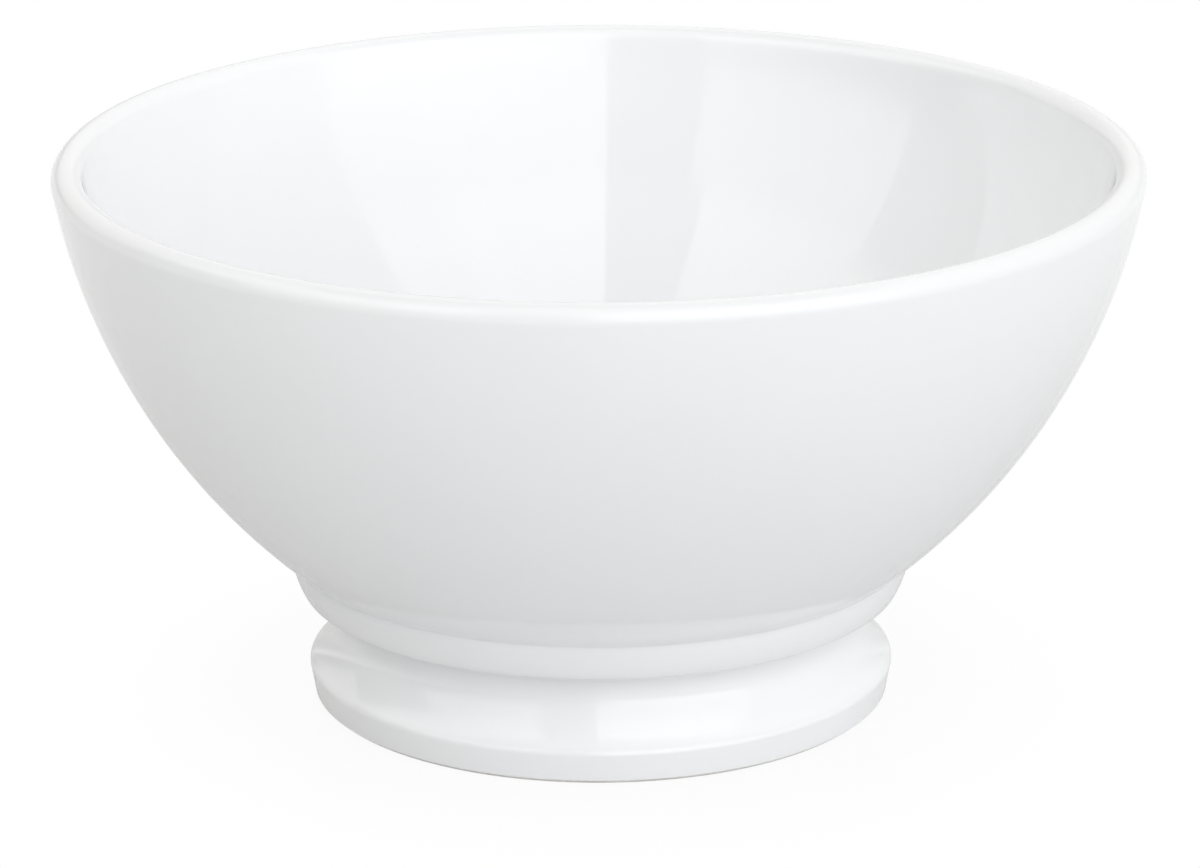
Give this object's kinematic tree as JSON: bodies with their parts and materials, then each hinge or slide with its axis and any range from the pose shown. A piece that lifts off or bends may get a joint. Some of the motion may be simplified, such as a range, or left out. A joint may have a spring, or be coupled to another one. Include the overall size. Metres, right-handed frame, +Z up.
{
  "type": "latte bowl",
  "caption": "Footed latte bowl in white glazed porcelain: round deep bowl with a rolled lip, luted to a hollow moulded foot.",
  "frame": {"origin": "centre of the foot's resting face", "axes": "+Z up along the bowl's axis of revolution; +X and +Y lie in the resting plane"},
  "size_m": [0.14, 0.14, 0.0722],
  "materials": {
    "bisque_bowl": "fired porcelain body under the glaze",
    "bisque_foot": "fired porcelain body, bare and matte on the bearing ring",
    "slip": "fired porcelain slip",
    "glaze": "glossy clear glaze over white porcelain"
  },
  "bodies": {
    "root": {"bowl": "bisque_bowl", "foot": "bisque_foot", "slip_joint": "slip", "glaze_coat": "glaze", "glaze_underside": "glaze"}
  },
  "joints": []
}
